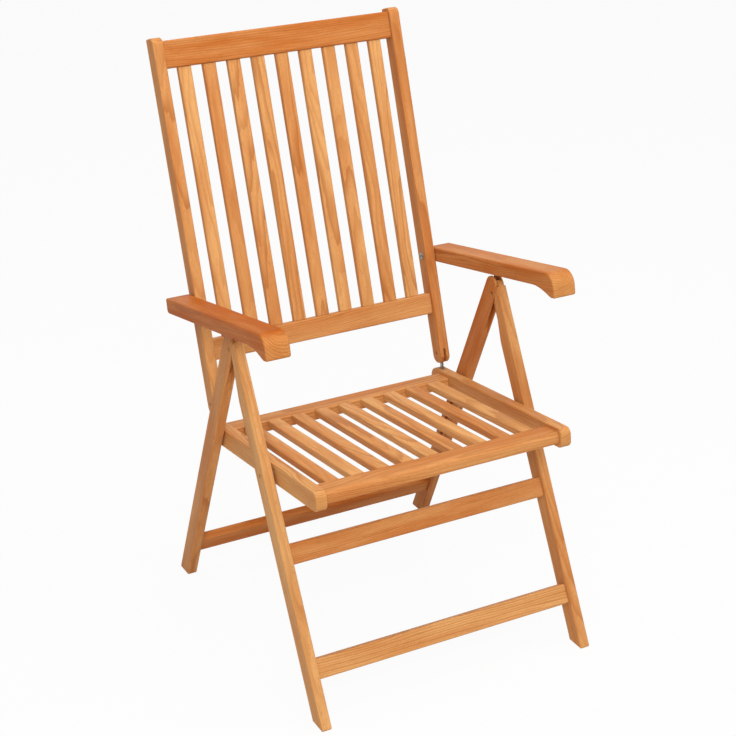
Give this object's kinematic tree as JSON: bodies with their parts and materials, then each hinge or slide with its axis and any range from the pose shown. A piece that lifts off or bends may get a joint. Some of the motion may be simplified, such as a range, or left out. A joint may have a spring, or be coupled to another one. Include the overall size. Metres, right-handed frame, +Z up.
{
  "type": "folding garden armchair",
  "caption": "Folding slatted teak armchair with crossed leg frames, broad armrests on notched racks and a high reclining back.",
  "frame": {"origin": "middle of the chair's outline, on the floor between the four feet", "axes": "+X to the sitter's left, +Y to the rear, +Z up; the chair faces -Y"},
  "size_m": [0.6126, 0.7248, 1.0823],
  "materials": {
    "teak": "oiled, satin",
    "steel": "brushed, weathered",
    "bronze": "dark bronzed"
  },
  "bodies": {
    "front_frame": {"front_leg_left": "teak", "front_leg_right": "teak", "front_upper_rail": "teak", "front_lower_rail": "teak", "seat_bolt_left": "steel", "seat_bolt_right": "steel"},
    "rear_frame": {"rear_leg_left": "teak", "rear_leg_right": "teak", "rear_stretcher": "teak", "apex_pin_left": "steel", "apex_pin_right": "steel", "rack_rod_left": "steel", "rack_rod_right": "steel"},
    "seat": {"seat_side_rail_left": "teak", "seat_side_rail_right": "teak", "seat_front_rail": "teak", "seat_rear_rail": "teak", "seat_slat_1": "teak", "seat_slat_2": "teak", "seat_slat_3": "teak", "seat_slat_4": "teak", "seat_slat_5": "teak", "seat_slat_6": "teak", "seat_slat_7": "teak", "seat_slat_8": "teak", "seat_slat_9": "teak", "guide_pin_left": "steel", "guide_pin_right": "steel", "hinge_plate_left": "steel", "hinge_plate_right": "steel", "hinge_pin_left": "steel", "hinge_pin_right": "steel"},
    "back": {"back_stile_left": "teak", "back_stile_right": "teak", "back_top_rail": "teak", "back_bottom_rail": "teak", "back_slat_1": "teak", "back_slat_2": "teak", "back_slat_3": "teak", "back_slat_4": "teak", "back_slat_5": "teak", "back_slat_6": "teak", "back_slat_7": "teak", "back_slat_8": "teak", "back_slat_9": "teak"},
    "left_arm": {"armrest_left": "teak", "arm_rack_left": "bronze", "arm_bolt_left": "steel"},
    "right_arm": {"armrest_right": "teak", "arm_rack_right": "bronze", "arm_bolt_right": "steel"}
  },
  "joints": [
    {"name": "fold", "type": "hinge", "parent": "front_frame", "child": "seat", "pos_m": [0, -0.13375, 0.40375], "axis": [-1, 0, 0], "range_deg": [0, 86]},
    {"name": "legs_close", "type": "hinge", "parent": "front_frame", "child": "rear_frame", "pos_m": [0, -0.02026, 0.604], "axis": [-1, 0, 0], "range_deg": [0, 42.6]},
    {"name": "back_folds", "type": "hinge", "parent": "seat", "child": "back", "pos_m": [0, 0.14169, 0.42332], "axis": [1, 0, 0], "range_deg": [0, 88.1]},
    {"name": "left_arm_folds", "type": "hinge", "parent": "back", "child": "left_arm", "pos_m": [0.27, 0.20099, 0.61255], "axis": [-1, 0, 0], "range_deg": [0, 132.8]},
    {"name": "right_arm_folds", "type": "hinge", "parent": "back", "child": "right_arm", "pos_m": [-0.27, 0.20099, 0.61255], "axis": [-1, 0, 0], "range_deg": [0, 132.8]}
  ],
  "couplings": [
    {"joint": "legs_close", "follows": "fold", "ratio": 0.4946},
    {"joint": "back_folds", "follows": "fold", "ratio": 1.0233},
    {"joint": "left_arm_folds", "follows": "fold", "ratio": 1.5429},
    {"joint": "right_arm_folds", "follows": "fold", "ratio": 1.5429}
  ]
}
